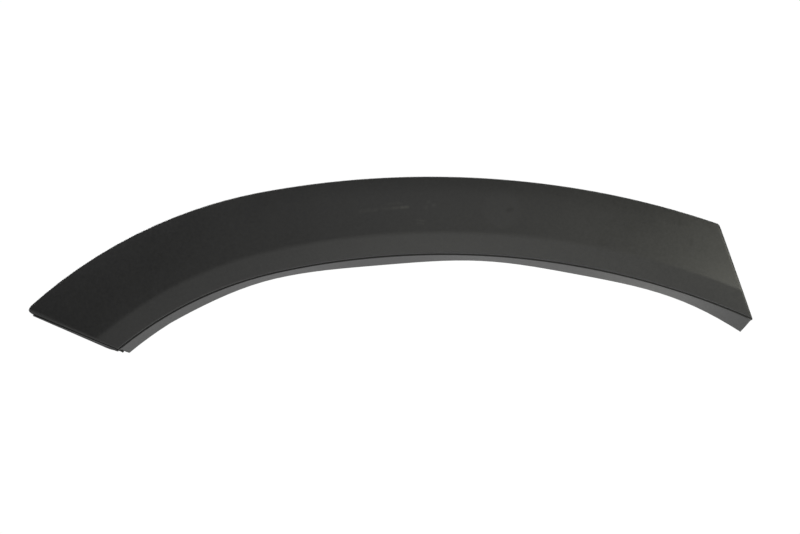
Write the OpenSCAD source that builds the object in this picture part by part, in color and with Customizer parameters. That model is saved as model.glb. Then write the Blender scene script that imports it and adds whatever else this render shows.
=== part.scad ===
// Wheel arch trim: the top arc of a moulded plastic arch, one piece.
// X runs along the car, Y runs in towards the car and Z is up.
// The origin is on the main locating pin, where it meets the car's side.
// "Low end" is the end that reaches lower round the wheel, "high end" the other.

/* [Arch line] */
// Radius of the lip along the crown of the arch
crown_r = 618; // [540:1:720]
// Length of lip from its level point to the shoulder, towards the low end
low_crown = 134.5; // [110:0.5:160]
// Radius of the lip round the shoulder
shoulder_r = 302; // [260:1:350]
// Length of lip round the shoulder, as far as the low end
shoulder_len = 142; // [120:0.5:158]
// Length of lip from its level point to the tail, towards the high end
high_crown = 192; // [160:1:215]
// Radius of the lip in the tail
tail_r = 600; // [420:5:700]
// Length of lip in the tail, as far as the high end
tail_len = 63; // [50:0.5:80]
// Radius of the car's side, seen from above
side_r = 2100; // [1500:10:3200]

/* [Face] */
// Width of the face from the lip to the top edge, along the crown
face_w = 61.1; // [54:0.1:70]
// Width of the face at the low end
low_face_w = 71.8; // [64:0.1:80]
// Length of lip past the level point at which the face starts to widen
widen_from = 114; // [60:1:150]
// Width of the band between the lip and the crease
band_w = 17.6; // [14:0.1:21]
// Half the width over which the crease is rounded
crease_round = 1.9; // [1:0.1:4]
// Height of the crease off the car's side
crease_h = 15; // [13:0.1:18]
// Height of the lip off the car's side
lip_h = 12.6; // [11:0.1:14]
// Height of the top edge off the car's side
top_h = 4.5; // [3.6:0.1:6]
// Bow of the face between the crease and the top edge
face_bow = 1.3; // [0.4:0.1:2]

/* [Walls and edges] */
// Wall of the face
wall = 2.6; // [2:0.1:3]
// Wall of the flange
flange_t = 2.4; // [1.8:0.1:3]
// Radius of the lip, the top edge and the ends of the face
edge_r = 1.2; // [0.8:0.1:1.5]
// Radius inside the corners of the section
root_r = 1.4; // [0.8:0.1:1.8]
// Width of the shadow groove between the lip and the flange
groove_w = 1.2; // [0.8:0.1:1.8]
// Depth of the shadow groove
groove_d = 1; // [0.6:0.1:1.4]
// Gap between the moulding's back edges and the car's side
back_gap = 0.3; // [0.2:0.1:0.6]

/* [Flange] */
// Width of the flange, seen square on from outside
flange_w = 5.85; // [4.5:0.05:8]
// Depth of the flange, from the lip in to the wheel housing
flange_d = 20; // [16:0.5:26]
// Height of the low waves along the free edge of the flange
wave_h = 1.05; // [0:0.05:1.4]
// Length of one wave
wave_len = 165; // [120:1:200]
// Place of a wave's peak, as length of lip from the level point
wave_at = -51; // [-80:1:-20]
// Width that the flange gains at the high end
heel_w = 7.6; // [4:0.1:10]
// Length of lip over which it gains it
heel_len = 144; // [90:1:170]
// Width that the flange gains at the low end
toe_w = 2.7; // [0:0.1:4]
// Length of lip over which it gains it
toe_len = 45; // [30:1:70]
// Length of lip over which each end of the flange slopes up to the lip
flange_end = 4.5; // [3.8:0.1:8]

/* [Ends] */
// Length by which the top edge runs on past the lip at the low end
low_rake = 31; // [20:0.5:36]
// Length of lip over which the section leans to that rake
low_rake_run = 110; // [90:1:130]
// Length by which the top edge stops short of the lip at the high end
high_rake = 50; // [30:0.5:56]
// Length of lip over which the section leans back to that rake
high_rake_run = 200; // [170:1:215]
// Lean of the low end's wall at the top edge, seen square on
top_lean = 1.7; // [0.6:0.1:3]
// Lean of the low end's wall at the lip
lip_lean = 3.2; // [1.5:0.1:4.5]
// Height over which that lean is taken back at the corner by the lip
lip_corner = 7; // [4:0.5:12]
// Length of the top edge taken off by the low end's rounded corner
low_corner = 8.8; // [3:0.1:11]
// Length of the top edge taken off by the high end's rounded corner
high_corner = 2.4; // [1:0.1:4]

/* [Fixings] */
// Height of the row of fixings above the lip
row_h = 34; // [30:0.5:38]
// Diameter of the locating pins
pin_d = 6; // [5:0.1:7]
// Length of the locating pins past the car's side
pin_len = 8; // [6:0.5:11]
// Diameter of the shoulder at the foot of a pin
shoulder_d = 10; // [9:0.1:11]
// Place of the second pin, as length of lip from the level point
second_pin = -189; // [-193:1:-185]
// Number of clip towers
towers = 6; // [4:1:6]
// Place of the first clip tower, as length of lip from the level point
first_tower = -232; // [-236:1:-230]
// Length of lip from one tower to the next
tower_pitch = 86; // [84:1:88]
// Width of a clip tower along the arch
tower_w = 19; // [17:0.5:22]
// Height of a clip tower
tower_h = 18; // [16:0.5:20]
// Wall of a clip tower
tower_wall = 1.8; // [1.4:0.1:2.2]
// Thickness of the plate that holds the clip
plate_t = 2; // [1.6:0.1:2.4]
// Gap between that plate and the car's side
plate_gap = 1; // [0.6:0.1:1.5]
// Diameter of the clip's seat in the plate
seat_d = 8; // [7:0.1:9]
// Width of the throat that the clip is pushed in through
throat_w = 5.2; // [4.4:0.1:5.6]

/* [Gussets] */
// Length of lip from one gusset to the next
gusset_pitch = 43; // [38:1:60]
// Thickness of a gusset
gusset_t = 1.4; // [1:0.1:2]
// Height of a gusset up the back of the band
gusset_h = 14; // [9:0.5:16]
// Reach of a gusset along the flange
gusset_reach = 12; // [8:0.5:14]

/* [Hidden] */
$fn = 48;
low_len = low_crown + shoulder_len;
high_len = high_crown + tail_len;
station_step = 10.5;
groove_half = groove_w / 2;
// Height off the car's side at which the flange leaves the groove
root_h = lip_h - edge_r - 0.3 * groove_d;
// Depth of the flange where it only reaches back as far as the end wall
stub_d = root_h - back_gap;
// Shares of the flange's depth at which its section has points
flange_steps = [0.04, 0.35, 0.7, 0.97];
// Angles round an edge's radius at which the section has points
round_steps = [0, 30, 60, 90];
face_points = 6;

function arc_angle(length, r) = length / r * 180 / PI;

// One half of the lip line: along, up and slope at a length d from the level point
function half_lip(d, bend_at, bend_r) =
    let (a = arc_angle(min(d, bend_at), crown_r))
    let (b = arc_angle(max(d - bend_at, 0), bend_r))
    [
        crown_r * sin(a) + bend_r * (sin(a + b) - sin(a)),
        crown_r * (cos(a) - 1) + bend_r * (cos(a + b) - cos(a)),
        a + b
    ];

// The lip line at a length s from its level point: x, z and slope
function lip(s) =
    let (p = s < 0 ? half_lip(-s, low_crown, shoulder_r) : half_lip(s, high_crown, tail_r))
    s < 0 ? [-p.x, p.y - row_h, p.z] : [p.x, p.y - row_h, -p.z];

function lip_xz(s) = [lip(s).x, lip(s).y];
function across(s) = [-sin(lip(s).z), cos(lip(s).z)];

function face_width(s) =
    face_w + (low_face_w - face_w) * pow(max(0, widen_from - s) / (widen_from + low_len), 2);

function top_edge(s) = lip_xz(s) + across(s) * face_width(s);

// How far the top of a section runs ahead of its foot, to meet the raked ends
function rake(s) =
    s < 0 ? -low_rake * eased((low_rake_run - low_len - s) / low_rake_run)
          : -high_rake * eased((high_rake_run - high_len + s) / high_rake_run);

// From 0 to 1 with no kink at either end
function eased(share) =
    let (t = max(0, min(1, share)))
    t * t * (3 - 2 * t);

// What a rounded corner takes off the top edge, d in from the end of the face.
// The end wall, outside the face, keeps more of its corner.
function corner_cut(d, size) =
    let (run = size / 2)
    d < 0 ? size * (1 + d / 6) : d < run ? size * (1 - sqrt(1 - pow(1 - d / run, 2))) : 0;

// A section's foot, its direction up the face, its length and its lean off square
function section_line(s) =
    let (foot = lip_xz(s))
    let (rise = top_edge(s + rake(s)) - foot)
    let (dir = rise / norm(rise))
    let (cut = corner_cut(s + low_len, low_corner) + corner_cut(high_len - s, high_corner))
    [foot, dir, norm(rise) - cut, dir * across(s)];

// Height of the outer skin off the car's side, v up the section's line
function skin(line, v) =
    let (crease_v = band_w / line[3])
    let (nose_v = groove_half + edge_r)
    let (w = (v - crease_v) / (line[2] - crease_v))
    v < crease_v ? lip_h + (crease_h - lip_h) * (v - nose_v) / (crease_v - nose_v)
                 : crease_h + (top_h - crease_h) * w + 4 * face_bow * w * (1 - w);

// Height of the outer skin, h square above the lip
function skin_above(s, h) = skin(section_line(s), h / section_line(s)[3]);

// Distance along the lip to the nearer end
function to_end(s) = min(s + low_len, high_len - s);

// The free edge of the flange: its width as seen, and its depth
function flange_width(s) =
    let (heel = heel_w * pow(max(0, s - high_len + heel_len) / heel_len, 2.4))
    let (toe = toe_w * max(0, toe_len - low_len - s) / toe_len)
    let (full = flange_w + heel + toe + wave_h * cos(360 * (s - wave_at) / wave_len))
    let (share = max(0.04, min(1, (to_end(s) - 0.4 * edge_r) / (flange_end - 0.4 * edge_r))))
    groove_half + (full - groove_half) * share;

function flange_depth(s) =
    let (share = max(0, min(1, (to_end(s) - wall) / (flange_end - wall))))
    stub_d + (flange_d - stub_d) * share;

// Outer points of a section, as height off the car's side and place up its line
function outer_points(s, drop) =
    let (line = section_line(s))
    let (len = line[2])
    let (crease_v = band_w / line[3])
    let (low_v = crease_v - crease_round)
    let (high_v = crease_v + crease_round)
    let (nose_v = groove_half + edge_r)
    let (top_v = len - edge_r)
    let (width = flange_width(s))
    let (depth = flange_depth(s))
    let (crease_u = (skin(line, low_v) + 2 * crease_h + skin(line, high_v)) / 4)
    concat(
        [[back_gap, len]],
        [for (a = [90 : -45 : 0]) [top_h - drop - edge_r * (1 - cos(a)), top_v + edge_r * sin(a)]],
        [for (i = [1 : face_points])
            let (v = top_v + (high_v - top_v) * i / face_points) [skin(line, v) - drop, v]],
        [[crease_u - drop, crease_v]],
        [[skin(line, low_v) - drop, low_v]],
        [[(skin(line, low_v) + lip_h) / 2 - drop, (low_v + nose_v) / 2]],
        [for (a = round_steps) [lip_h - edge_r * (1 - cos(a)) - drop, nose_v - edge_r * sin(a)]],
        [[lip_h - edge_r - groove_d - drop, groove_half * 0.6]],
        [[lip_h - edge_r - groove_d - drop, -groove_half * 0.6]],
        [for (share = flange_steps)
            [root_h - drop - (depth - drop) * share, -groove_half - (width - groove_half) * share]],
        [[root_h - depth, min(0.4 - width, -groove_half - 0.99 * (width - groove_half))]]
    );

// Index of the first groove point, and of the first flange point
groove_at = 1 + 3 + face_points + 3 + len(round_steps);
flange_at = groove_at + 2;
last_point = flange_at + len(flange_steps);

// Inner points of an open section: the outer points taken in by the wall
function open_inner(s) =
    let (line = section_line(s))
    let (outer = outer_points(s, 0))
    let (under_top = line[2] - wall)
    let (top_u = skin(line, under_top) - wall - root_r)
    let (nose_at = groove_at - len(round_steps))
    let (root_v = outer[flange_at][1] + flange_t + root_r)
    let (root_u = skin(line, root_v) - wall - root_r)
    [for (i = [0 : last_point])
        i == 0 ? [back_gap, under_top] :
        i <= 3 ? [top_u + root_r * cos(135 - 45 * i), under_top - root_r + root_r * sin(135 - 45 * i)] :
        i < nose_at ? [outer[i][0] - wall, outer[i][1]] :
        i <= flange_at ?
            let (a = 90 * (i - nose_at) / (flange_at - nose_at))
            [root_u + root_r * cos(a), root_v - root_r * sin(a)] :
        i < last_point ? [outer[i][0], outer[i][1] + flange_t] :
        [outer[i][0], outer[i][1] + flange_t - 0.4]];

// Inner points of a closed section, in an end wall: straight down the back
function closed_inner(s, drop) =
    let (outer = outer_points(s, drop))
    let (head_v = section_line(s)[2] - wall)
    let (deep = flange_depth(s) > stub_d + 1)
    let (foot_at = deep ? flange_at + 1 : last_point)
    let (foot_v = deep ? outer[foot_at][1] + flange_t : outer[last_point][1] + 0.5)
    [for (i = [0 : last_point])
        i <= foot_at ? [back_gap, head_v + (foot_v - head_v) * i / foot_at] :
        [outer[i][0], outer[i][1] + flange_t]];

function side_y(x) = side_r - sqrt(side_r * side_r - x * x);

// How far the low end's wall leans out past the face at a height v
function wall_lean(s, v) =
    let (share = max(0, min(1, v / section_line(s)[2])))
    (lip_lean + (top_lean - lip_lean) * share) * (0.65 + 0.35 * max(0, min(1, v / lip_corner)));

// A section's point in space, pushed out past the low end by its lean
function placed(s, point, lean) =
    let (line = section_line(s))
    let (dir = line[1])
    let (out = [-dir.y, dir.x] * lean)
    let (xz = line[0] + dir * max(point[1], 0) + across(s) * min(point[1], 0) + out)
    [xz.x, side_y(xz.x) - point[0], xz.y];

// One ring of the moulding: outer points, then inner points in the same order
function ring(s, outer, inner) =
    concat([for (p = outer) placed(s, p, 0)], [for (p = inner) placed(s, p, 0)]);

// A ring in the low end's wall, d in from the end of the face. Its outer points are
// lowered by drop, and its back lies depth in from the wall's leaning outer side.
function low_ring(d, drop, depth) =
    let (s = d - low_len)
    let (outer = outer_points(s, drop))
    let (inner = closed_inner(s, drop))
    concat(
        [for (i = [0 : last_point])
            placed(s, outer[i], i == 0 ? d + wall_lean(s, outer[i][1]) - depth : 0)],
        [for (p = inner) placed(s, p, d + wall_lean(s, p[1]) - depth)]
    );

function high_ring(d, drop) =
    let (s = high_len - d)
    ring(s, outer_points(s, drop), closed_inner(s, drop));

function open_ring(s) = ring(s, outer_points(s, 0), open_inner(s));

// The low end: the leaning wall, the shadow groove, then the rounded edge of the face
low_rings = [
    low_ring(-0.7 * groove_w, edge_r + 0.5 * groove_d, 0),
    low_ring(-0.4 * groove_w, edge_r + 1.5 * groove_d, 0.1 * wall),
    low_ring(-0.05 * groove_w, edge_r + 1.5 * groove_d, 0.2 * wall),
    low_ring(0, edge_r, 0.3 * wall),
    low_ring(0.3 * edge_r, 0.3 * edge_r, 0.45 * wall),
    low_ring(edge_r, 0, 0.65 * wall),
    low_ring(wall - 0.2, 0, wall)
];

high_rings = [
    high_ring(wall - 0.2, 0),
    high_ring(edge_r, 0),
    high_ring(0.3 * edge_r, 0.3 * edge_r),
    high_ring(0, edge_r)
];

// The open sections between the two end walls
flange_from = flange_end - low_len;
flange_to = high_len - flange_end;
steps = ceil((flange_to - flange_from) / station_step);
open_rings = concat(
    [open_ring(wall - low_len)],
    [for (i = [0 : steps]) open_ring(flange_from + (flange_to - flange_from) * i / steps)],
    [open_ring(high_len - wall)]
);

rings = concat(low_rings, open_rings, high_rings);
ring_points = 2 * (last_point + 1);

function two_triangles(a, b, c, d) = [[a, c, b], [a, d, c]];

// Skins between neighbouring points i and j of rings k and k + 1
function band_faces(k, i, j) =
    let (a = k * ring_points)
    let (b = a + ring_points)
    two_triangles(a + i, a + j, b + j, b + i);

function end_faces(k, i) =
    let (a = k * ring_points)
    let (inner = last_point + 1)
    two_triangles(a + i, a + inner + i, a + inner + i + 1, a + i + 1);

function flipped(faces) = [for (f = faces) [f[2], f[1], f[0]]];

module moulding() {
    inner = last_point + 1;
    last_ring = len(rings) - 1;
    outer_skin = [for (k = [0 : last_ring - 1]) for (i = [0 : last_point - 1])
        for (f = band_faces(k, i, i + 1)) f];
    inner_skin = [for (k = [0 : last_ring - 1]) for (i = [0 : last_point - 1])
        for (f = flipped(band_faces(k, inner + i, inner + i + 1))) f];
    top_back = [for (k = [0 : last_ring - 1]) for (f = flipped(band_faces(k, 0, inner))) f];
    flange_edge = [for (k = [0 : last_ring - 1])
        for (f = band_faces(k, last_point, inner + last_point)) f];
    low_cap = [for (i = [0 : last_point - 1]) for (f = end_faces(0, i)) f];
    high_cap = [for (i = [0 : last_point - 1]) for (f = flipped(end_faces(last_ring, i))) f];
    polyhedron(
        points = [for (r = rings) for (p = r) p],
        faces = concat(outer_skin, inner_skin, top_back, flange_edge, low_cap, high_cap),
        convexity = 8
    );
}

// Puts its child on the car's side, h above the lip, square to the side and in line with the lip
module on_side(s, h) {
    xz = lip_xz(s) + across(s) * h;
    translate([xz.x, side_y(xz.x), xz.y])
        rotate([0, 0, asin(xz.x / side_r)])
            rotate([0, -lip(s).z, 0])
                children();
}

// A profile of y and z points made width thick along the arch
module across_arch(width) {
    rotate([90, 0, 90])
        translate([0, 0, -width / 2])
            linear_extrude(width) children();
}

// Place of the middle of the face's wall behind a point h above the lip
function wall_y(s, h) = -skin_above(s, h) + wall / 2;

module locating_pin(s) {
    foot = wall_y(s, row_h);
    tip = pin_d * 0.3;
    on_side(s, row_h)
        rotate([90, 0, 0])
            mirror([0, 0, 1])
                rotate_extrude()
                    polygon([
                        [0, foot],
                        [shoulder_d / 2, foot],
                        [shoulder_d / 2, -back_gap],
                        [pin_d / 2, -back_gap],
                        [pin_d / 2, pin_len - tip],
                        [pin_d / 2 - tip / 2, pin_len],
                        [0, pin_len]
                    ]);
}

// A box on three sides under a plate, open below, with a keyhole for the clip's neck
module clip_tower(s) {
    half = tower_h / 2;
    low_foot = wall_y(s, row_h - half);
    high_foot = wall_y(s, row_h + half);
    on_side(s, row_h)
        difference() {
            across_arch(tower_w)
                polygon([
                    [low_foot, -half], [high_foot, half], [-plate_gap, half], [-plate_gap, -half]
                ]);
            across_arch(tower_w - 2 * tower_wall)
                polygon([
                    [low_foot - wall, -half - 1],
                    [high_foot - wall, half - tower_wall],
                    [-plate_gap - plate_t, half - tower_wall],
                    [-plate_gap - plate_t, -half - 1]
                ]);
            rotate([90, 0, 0])
                cylinder(h = 3 * tower_h, d = seat_d, center = true);
            translate([-throat_w / 2, -plate_gap - plate_t - 1, -half - 1])
                cube([throat_w, plate_t + 2, half + 1]);
        }
}

// A web in the corner between the back of the band and the flange
module gusset(s) {
    line = section_line(s);
    reach_u = root_h - gusset_reach;
    share = gusset_reach / flange_depth(s);
    reach_v = -groove_half - (flange_width(s) - groove_half) * share + flange_t / 2;
    corner_v = flange_t / 2 - groove_half;
    on_side(s, 0)
        across_arch(gusset_t)
            polygon([
                [wall / 2 - skin(line, gusset_h), gusset_h],
                [wall / 2 + edge_r - skin(line, corner_v + edge_r), corner_v],
                [-reach_u, reach_v]
            ]);
}

module arch_trim() {
    color("#2e2f2c")
        union() {
            moulding();
            for (i = [0 : towers - 1]) clip_tower(first_tower + i * tower_pitch);
            for (s = [0, second_pin]) locating_pin(s);
            for (s = [first_tower - gusset_pitch / 2 : gusset_pitch : high_len - gusset_pitch / 4]) gusset(s);
        }
}

arch_trim();
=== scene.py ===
# Wheel arch trim: the top arc of a black moulded plastic arch, seen square on from outside.
import math

import bmesh
import bpy
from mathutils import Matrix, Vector


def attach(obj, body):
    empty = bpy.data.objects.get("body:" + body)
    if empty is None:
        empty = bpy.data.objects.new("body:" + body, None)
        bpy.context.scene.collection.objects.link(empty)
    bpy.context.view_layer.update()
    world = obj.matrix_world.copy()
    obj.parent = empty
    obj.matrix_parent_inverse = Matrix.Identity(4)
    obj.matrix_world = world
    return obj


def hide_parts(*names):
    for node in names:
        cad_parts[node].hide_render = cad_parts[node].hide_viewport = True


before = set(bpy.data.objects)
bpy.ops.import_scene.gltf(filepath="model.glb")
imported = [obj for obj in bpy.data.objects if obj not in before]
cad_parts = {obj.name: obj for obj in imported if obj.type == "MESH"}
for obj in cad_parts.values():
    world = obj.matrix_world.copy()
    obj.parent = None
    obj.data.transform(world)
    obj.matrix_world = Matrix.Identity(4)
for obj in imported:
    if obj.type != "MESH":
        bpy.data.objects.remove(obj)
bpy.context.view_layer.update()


# The moulding
# One injection-moulded shell of rubber-toughened polypropylene, coloured black right
# through, with its flange, clip towers, pins and gussets. Clips press it onto the car.

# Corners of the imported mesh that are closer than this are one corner
MERGED = 0.000002
# Edges that bend more than this stay sharp
SHARP = math.radians(34)
SHARP_AT_BACK = math.radians(20)
# Which way a face's normal points, in Y, on the outside, on the back and on the groove's floor
OUTSIDE_Y = -0.1
BACK_Y = 0.05
FLOOR_Y = -0.9
# A hollow edge sharper than this is at the foot of the groove's wall. What bends less than
# FLAT runs on as the groove's floor, and none of the floor's faces is wider than GROOVE_W.
GROOVE_TURN = math.radians(50)
FLAT = math.radians(20)
GROOVE_W = 0.0013
# The line of the low end's wall, the way out past it, how squarely the wall faces that way,
# and how far in from it the plastic is painted lighter
LOW_END = Vector((-0.2954, 0, -0.0963))
END_OUT = Vector((-0.383, 0, -0.924))
END_FACING = 0.8
PAINTED_LIGHT_RIM = 0.0016
# Its four finishes, which are the mesh's material slots
OUTSIDE, BACK, END_WALL, GROOVE = range(4)


def is_narrow(face):
    return 2 * face.calc_area() < GROOVE_W * max(edge.calc_length() for edge in face.edges)


def groove_floor(form):
    """The faces of the shadow groove's floor, found from the foot of its wall."""
    found = set()
    for edge in form.edges:
        if edge.calc_face_angle_signed(0) < -GROOVE_TURN:
            found.update(face for face in edge.link_faces if face.normal.y < FLOOR_Y and is_narrow(face))
    ahead = list(found)
    while ahead:
        for edge in ahead.pop().edges:
            for beside in edge.link_faces:
                if beside not in found and edge.calc_face_angle(math.pi) < FLAT and is_narrow(beside):
                    found.add(beside)
                    ahead.append(beside)
    return found


def finish_of(face, in_groove):
    outward = face.normal.y < OUTSIDE_Y
    past_end = (face.calc_center_median() - LOW_END).dot(END_OUT)
    # The end wall and the rim beside it take the painted light
    if past_end > -PAINTED_LIGHT_RIM and (outward or face.normal.dot(END_OUT) > END_FACING):
        return END_WALL
    # The groove's floor takes the painted shade
    if in_groove:
        return GROOVE
    return OUTSIDE if outward else BACK


def moulding():
    """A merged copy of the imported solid, so that its rounded edges and long curves shade smoothly."""
    form = bmesh.new()
    form.from_mesh(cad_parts["arch_trim"].data)
    bmesh.ops.remove_doubles(form, verts=form.verts, dist=MERGED)
    bmesh.ops.dissolve_degenerate(form, edges=form.edges, dist=MERGED)
    for edge in form.edges:
        at_back = all(face.normal.y > BACK_Y for face in edge.link_faces)
        edge.smooth = edge.calc_face_angle(0) < (SHARP_AT_BACK if at_back else SHARP)
    floor_faces = groove_floor(form)
    for face in form.faces:
        face.smooth = True
        face.material_index = finish_of(face, face in floor_faces)
    mesh = bpy.data.meshes.new("moulding")
    form.to_mesh(mesh)
    form.free()
    made = bpy.data.objects.new("moulding", mesh)
    bpy.context.scene.collection.objects.link(made)
    evened = made.modifiers.new("even shading", "WEIGHTED_NORMAL")
    evened.keep_sharp = True
    return made


def place(tree, kind, ins=None, **settings):
    """A new node, with its settings, and with its inputs set or linked."""
    node = tree.nodes.new(kind)
    for key, value in settings.items():
        setattr(node, key, value)
    for key, value in (ins or {}).items():
        if isinstance(value, bpy.types.NodeSocket):
            tree.links.new(value, node.inputs[key])
        else:
            node.inputs[key].default_value = value
    return node


def sums(tree, operation, a, b, clamp=False):
    return place(tree, "ShaderNodeMath", {0: a, 1: b}, operation=operation, use_clamp=clamp).outputs[0]


def arrows(tree, operation, a, b):
    return place(tree, "ShaderNodeVectorMath", {0: a, 1: b}, operation=operation).outputs


def blended(tree, share, low, high):
    """A value from low to high, by a share that changes over the surface."""
    limits = {"From Min": 0.0, "From Max": 1.0, "To Min": low, "To Max": high}
    return place(tree, "ShaderNodeMapRange", {"Value": share, **limits}).outputs["Result"]


def mixed(tree, share, first, second):
    """The first colour where share is 0, and the second where it is 1."""
    # The node's inputs 6 and 7 and its output 2 are the ones for colours
    return place(tree, "ShaderNodeMix", {0: share, 6: first, 7: second}, data_type="RGBA").outputs[2]


def roughen(tree, shader, height, strength, depth):
    bump = place(tree, "ShaderNodeBump", {"Strength": strength, "Distance": depth, "Height": height})
    tree.links.new(bump.outputs["Normal"], shader["Normal"])


def new_group(name, points, values, results):
    """A new node group, with its inputs and outputs as they are seen from inside it."""
    group = bpy.data.node_groups.new(name, "ShaderNodeTree")
    for socket in points:
        group.interface.new_socket(name=socket, in_out="INPUT", socket_type="NodeSocketVector")
    for socket in values:
        group.interface.new_socket(name=socket, in_out="INPUT", socket_type="NodeSocketFloat")
    for socket in results:
        group.interface.new_socket(name=socket, in_out="OUTPUT", socket_type="NodeSocketFloat")
    return group, group.nodes.new("NodeGroupInput").outputs, group.nodes.new("NodeGroupOutput").inputs


# The tool's fine grain is rounded pits, over a softer swell with this share of the pits'
# pitch and height. The pitch is in pits a metre, so the pits are about 0.4 mm apart.
GRAIN_PITCH = 2600.0
SWELL_PITCH = 0.22
SWELL_HEIGHT = 0.6


def make_grain():
    group, given, out = new_group("moulded_grain", ["Place"], ["Pitch"], ["Height"])
    pits = place(group, "ShaderNodeTexVoronoi", {"Vector": given["Place"], "Scale": given["Pitch"]},
                 feature="SMOOTH_F1")
    pitch = sums(group, "MULTIPLY", given["Pitch"], SWELL_PITCH)
    swell = place(group, "ShaderNodeTexNoise", {"Vector": given["Place"], "Scale": pitch, "Detail": 2.0})
    lowered = sums(group, "MULTIPLY", swell.outputs[0], SWELL_HEIGHT)
    height = sums(group, "ADD", pits.outputs["Distance"], lowered)
    group.links.new(height, out["Height"])
    return group


# Where handling has dulled or polished the plastic, from 0 to 1: the patches' name, how
# many there are to a metre, and their detail and roughness
PATCHES = [
    ("Broad", 14.0, 3.0, 0.55),
    ("Fine", 420.0, 4.0, 0.65),
]


def make_handled():
    group, given, out = new_group("handled_plastic", ["Place"], [], [name for name, *_ in PATCHES])
    for name, scale, detail, roughness in PATCHES:
        look = {"Scale": scale, "Detail": detail, "Roughness": roughness}
        noise = place(group, "ShaderNodeTexNoise", {"Vector": given["Place"], **look})
        group.links.new(noise.outputs[0], out[name])
    return group


# A mark along a straight line on the face, seen square on: 1 on the line and 0 off it.
# Rim is the share of the half width over which it fades.
def make_rub():
    group, given, out = new_group("rub_mark", ["Place", "Start", "End"], ["Half width", "Rim"], ["Mask"])
    square_on = (1.0, 0.0, 1.0)
    point = arrows(group, "MULTIPLY", given["Place"], square_on)[0]
    run = arrows(group, "SUBTRACT", given["End"], given["Start"])[0]
    lead = arrows(group, "SUBTRACT", point, given["Start"])[0]
    along = arrows(group, "DOT_PRODUCT", lead, run)["Value"]
    whole = arrows(group, "DOT_PRODUCT", run, run)["Value"]
    share = sums(group, "DIVIDE", along, whole, clamp=True)
    foot = place(group, "ShaderNodeVectorMath", {0: run, "Scale": share}, operation="SCALE").outputs[0]
    gap = arrows(group, "DISTANCE", lead, foot)["Value"]
    ratio = sums(group, "DIVIDE", gap, given["Half width"])
    inside = sums(group, "SUBTRACT", 1.0, ratio)
    mask = sums(group, "DIVIDE", inside, given["Rim"], clamp=True)
    group.links.new(mask, out["Mask"])
    return group


grain = make_grain()
handled = make_handled()
rub = make_rub()


def start_plastic(name):
    """A new material, its node tree, its shader's inputs and the place on the piece."""
    made = bpy.data.materials.new(name)
    made.use_nodes = True
    tree = made.node_tree
    where = place(tree, "ShaderNodeTexCoord").outputs["Object"]
    return made, tree, tree.nodes["Principled BSDF"].inputs, where


def patches_on(tree, where):
    return place(tree, "ShaderNodeGroup", {"Place": where}, node_tree=handled).outputs


# The grained outside. Years of handling have left it a little uneven, with a scuff above
# the crown, a pale round patch beside it that is a painted sheen of a sink mark, and a few dark specks.
FACE_BLACK = (0.0180, 0.0180, 0.0179, 1)
FACE_WORN = (0.0270, 0.0270, 0.0268, 1)
FACE_ROUGHNESS = (0.385, 0.475)
# Each mark is a line: the x and z of its start and of its end, its half width and its strength
SCUFFS = [
    ((-0.0666, 0.0002), (-0.0538, 0.0013), 0.0024, 0.13),
    ((-0.0498, 0.0022), (-0.0378, 0.0030), 0.0020, 0.13),
    ((-0.0402, 0.0029), (-0.0282, 0.0037), 0.0018, 0.20),
    ((-0.0330, 0.0034), (-0.0286, 0.0037), 0.0018, 0.40),
    ((-0.0454, 0.0060), (-0.0330, 0.0068), 0.0016, 0.12),
    ((-0.0142, 0.0032), (-0.0138, 0.0034), 0.0024, 0.18),
    ((-0.0076, 0.0050), (-0.0072, 0.0054), 0.0022, 0.20),
    ((-0.0124, 0.0077), (-0.0110, 0.0078), 0.0018, 0.14),
    ((-0.0210, -0.0067), (-0.0154, -0.0074), 0.0012, 0.16),
    ((-0.0206, -0.0092), (-0.0158, -0.0098), 0.0012, 0.14),
]
SINK_MARK_SHEENS = [
    ((0.0460, 0.0017), (0.0464, 0.0017), 0.0168, 0.41),
]
SPECKS = [
    ((0.0520, 0.0012), (0.0546, 0.0018), 0.0028, 0.45),
    ((0.1890, -0.0056), (0.1892, -0.0096), 0.0028, 0.60),
    ((0.1984, -0.0232), (0.1984, -0.0262), 0.0026, 0.60),
    ((-0.2306, -0.0448), (-0.2298, -0.0448), 0.0024, 0.50),
]
# Each kind of mark with its tint and its rim
MARKS = [
    # Painted sheen: the pale round patch where a sink mark catches the light
    (SINK_MARK_SHEENS, (0.033, 0.033, 0.034, 1), 0.28),
    (SCUFFS, (0.085, 0.083, 0.076, 1), 1.0),
    (SPECKS, (0.008, 0.008, 0.008, 1), 1.0),
]
# How much rougher the face is under a mark of full strength
MARK_ROUGHNESS = 0.1


def grained_black():
    made, tree, shader, where = start_plastic("grained_black")
    patches = patches_on(tree, where)
    broken = blended(tree, patches["Fine"], low=0.4, high=1.6)
    uneven = blended(tree, patches["Fine"], low=-1.0, high=1.0)
    worn = sums(tree, "ADD", patches["Broad"], uneven, clamp=True)
    colour = mixed(tree, worn, FACE_BLACK, FACE_WORN)
    roughness = blended(tree, worn, *FACE_ROUGHNESS)
    for marks, tint, rim in MARKS:
        for (start_x, start_z), (end_x, end_z), half_width, strength in marks:
            line = {"Start": (start_x, 0, start_z), "End": (end_x, 0, end_z), "Half width": half_width}
            mark = place(tree, "ShaderNodeGroup", {"Place": where, "Rim": rim, **line}, node_tree=rub)
            patchy = sums(tree, "MULTIPLY", mark.outputs["Mask"], broken)
            share = sums(tree, "MULTIPLY", patchy, strength, clamp=True)
            colour = mixed(tree, share, colour, tint)
            roughness = sums(tree, "ADD", roughness, sums(tree, "MULTIPLY", share, MARK_ROUGHNESS))
    tree.links.new(colour, shader["Base Color"])
    tree.links.new(roughness, shader["Roughness"])
    pits = place(tree, "ShaderNodeGroup", {"Place": where, "Pitch": GRAIN_PITCH}, node_tree=grain)
    roughen(tree, shader, pits.outputs["Height"], strength=0.35, depth=0.00006)
    return made


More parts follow.
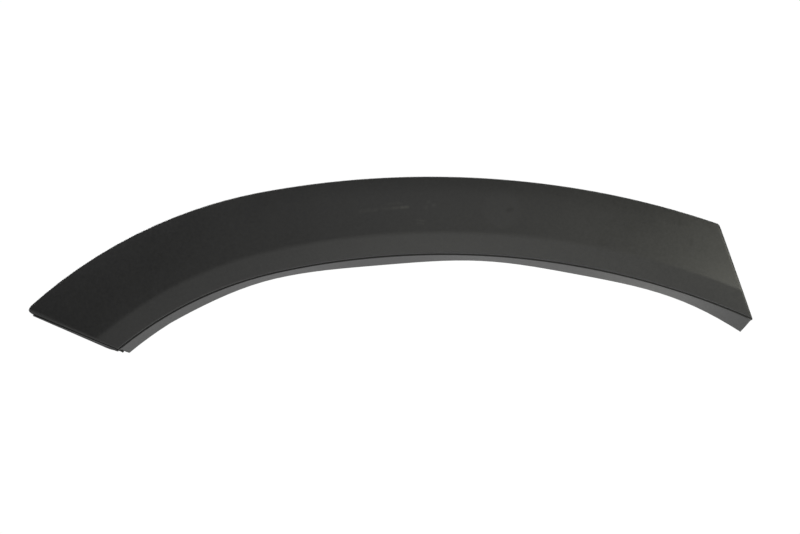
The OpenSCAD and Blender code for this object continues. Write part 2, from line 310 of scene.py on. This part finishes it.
# The side towards the car, left smooth from the tool, with faint patches where it flowed
BACK_BLACK = (0.021, 0.021, 0.020, 1)
BACK_PALE = (0.028, 0.028, 0.027, 1)
BACK_ROUGHNESS = (0.34, 0.46)


def smooth_black():
    made, tree, shader, where = start_plastic("smooth_black")
    patches = patches_on(tree, where)
    tree.links.new(mixed(tree, patches["Broad"], BACK_BLACK, BACK_PALE), shader["Base Color"])
    tree.links.new(blended(tree, patches["Broad"], *BACK_ROUGHNESS), shader["Roughness"])
    roughen(tree, shader, patches["Fine"], strength=0.2, depth=0.00004)
    return made


# The low end's wall and the edge round it, dull, and painted greyer than the face: painted
# light for the light that falls on the wall from below, which also lightens the shade at its edge
END_PAINTED_LIGHT_BLACK = (0.058, 0.058, 0.058, 1)
END_PAINTED_LIGHT_GREY = (0.082, 0.082, 0.081, 1)


def dull_painted_light_black():
    made, tree, shader, where = start_plastic("dull_painted_light_black")
    patches = patches_on(tree, where)
    tree.links.new(mixed(tree, patches["Fine"], END_PAINTED_LIGHT_BLACK, END_PAINTED_LIGHT_GREY), shader["Base Color"])
    shader["Roughness"].default_value = 0.85
    shader["Specular IOR Level"].default_value = 0.12
    roughen(tree, shader, patches["Fine"], strength=0.3, depth=0.00008)
    return made


# The floor of the shadow groove, which has no grain, painted near black as the shade that falls deep in
# the groove
GROOVE_PAINTED_SHADE_BLACK = (0.013, 0.013, 0.013, 1)
GROOVE_PAINTED_SHADE_GREY = (0.018, 0.018, 0.018, 1)


def groove_painted_shade():
    made, tree, shader, where = start_plastic("groove_painted_shade")
    patches = patches_on(tree, where)
    tree.links.new(mixed(tree, patches["Fine"], GROOVE_PAINTED_SHADE_BLACK, GROOVE_PAINTED_SHADE_GREY), shader["Base Color"])
    shader["Roughness"].default_value = 0.6
    shader["Specular IOR Level"].default_value = 0.3
    return made


trim = moulding()
for finish in (grained_black, smooth_black, dull_painted_light_black, groove_painted_shade):
    trim.data.materials.append(finish())
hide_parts("arch_trim")
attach(trim, "root")


# The studio
# A plain pale floor well below the trim, soft boxes round it, and a long lens
# level with it. None of it belongs to the trim.

FLOOR_Z = -0.45
FLOOR_R = 3.0
FLOOR_GREY = (0.20, 0.20, 0.20, 1)
FLOOR_GLOW = 0.5
WHITE = (1.0, 1.0, 1.0, 1)

ground = bmesh.new()
bmesh.ops.create_circle(ground, cap_ends=True, segments=96, radius=FLOOR_R)
bmesh.ops.translate(ground, verts=ground.verts, vec=(0, 0, FLOOR_Z))
floor_mesh = bpy.data.meshes.new("floor")
ground.to_mesh(floor_mesh)
ground.free()
floor = bpy.data.objects.new("floor", floor_mesh)
bpy.context.scene.collection.objects.link(floor)
floor_white = bpy.data.materials.new("floor_white")
floor_white.use_nodes = True
floor_shader = floor_white.node_tree.nodes["Principled BSDF"].inputs
floor_shader["Base Color"].default_value = FLOOR_GREY
floor_shader["Roughness"].default_value = 0.9
floor_shader["Specular IOR Level"].default_value = 0.0
floor_shader["Emission Color"].default_value = WHITE
floor_shader["Emission Strength"].default_value = FLOOR_GLOW
floor_mesh.materials.append(floor_white)

# The middle of the trim, which the lamps and the lens are turned to
CENTRE = Vector((-0.0346, -0.004, -0.0443))
# Each lamp's name, place, width, height, watts and tint
LAMPS = [
    ("right_near", (0.55, -0.50, 0.0), 0.15, 0.15, 1.6, (1.0, 1.0, 0.87)),
    ("right_above", (0.60, -0.30, 0.25), 0.15, 0.15, 1.0, (1.0, 1.0, 0.87)),
    ("left_above", (-1.6, -0.5, 1.8), 1.0, 1.0, 12.5, (0.985, 0.985, 1.0)),
    ("front", (0.0, -2.2, -0.05), 0.5, 0.3, 2.1, (1.0, 1.0, 0.95)),
    ("front_above", (0.0, -2.2, 1.2), 1.0, 0.8, 4.2, (1.0, 1.0, 1.0)),
    ("front_below", (0.0, -0.5, -0.24), 0.2, 0.1, 0.22, (1.0, 1.0, 0.95)),
    ("beneath", (0.0, 0.0, -0.44), 0.8, 0.5, 0.6, (1.0, 1.0, 1.0)),
    ("behind_below", (0.13, 0.44, -0.31), 0.1, 0.1, 0.027, (1.0, 1.0, 0.9)),
    ("under_heel", (0.16, 0.08, -0.28), 0.08, 0.08, 0.014, (1.0, 1.0, 0.95)),
    ("behind", (0.0, 1.8, 1.4), 2.0, 1.0, 19.0, (1.0, 1.0, 1.0)),
    ("behind_left", (-1.0, 1.8, 0.7), 1.0, 0.8, 14.0, (1.0, 1.0, 1.0)),
    ("behind_right", (1.0, 1.8, 0.7), 1.0, 0.8, 14.0, (1.0, 1.0, 1.0)),
]

for name, stand, wide, high, watts, tint in LAMPS:
    light = bpy.data.lights.new(name, "AREA")
    light.shape = "RECTANGLE"
    light.size = wide
    light.size_y = high
    light.energy = watts
    light.color = tint
    lamp = bpy.data.objects.new(name, light)
    lamp.location = stand
    lamp.rotation_mode = "QUATERNION"
    lamp.rotation_quaternion = (CENTRE - Vector(stand)).to_track_quat("-Z", "Y")
    lamp.visible_camera = False
    bpy.context.scene.collection.objects.link(lamp)

# How bright the surroundings are to the lens, and as the light that falls on the trim
BACKDROP = 1.02
AROUND = 0.06

world = bpy.data.worlds.new("studio")
world.use_nodes = True
sky = world.node_tree
for node in list(sky.nodes):
    sky.nodes.remove(node)
backdrop = place(sky, "ShaderNodeBackground", {"Color": WHITE, "Strength": BACKDROP}).outputs[0]
around = place(sky, "ShaderNodeBackground", {"Color": WHITE, "Strength": AROUND}).outputs[0]
to_lens = place(sky, "ShaderNodeLightPath").outputs["Is Camera Ray"]
chosen = place(sky, "ShaderNodeMixShader", {0: to_lens, 1: around, 2: backdrop}).outputs[0]
place(sky, "ShaderNodeOutputWorld", {"Surface": chosen})
bpy.context.scene.world = world
bpy.context.scene.view_settings.view_transform = "Standard"

# The lens stands far off, so that it sees the trim almost without perspective. Its sensor,
# in millimetres, takes in a width of IN_VIEW at the trim.
FAR = 10.0
SENSOR = 36
IN_VIEW = 0.64

lens = bpy.data.cameras.new("camera")
lens.sensor_fit = "HORIZONTAL"
lens.sensor_width = SENSOR
lens.lens = SENSOR * FAR / IN_VIEW
lens.clip_end = 60
camera = bpy.data.objects.new("camera", lens)
camera.location = CENTRE - Vector((0, FAR, 0))
camera.rotation_euler = (math.radians(90), 0, 0)
bpy.context.scene.collection.objects.link(camera)
bpy.context.scene.camera = camera
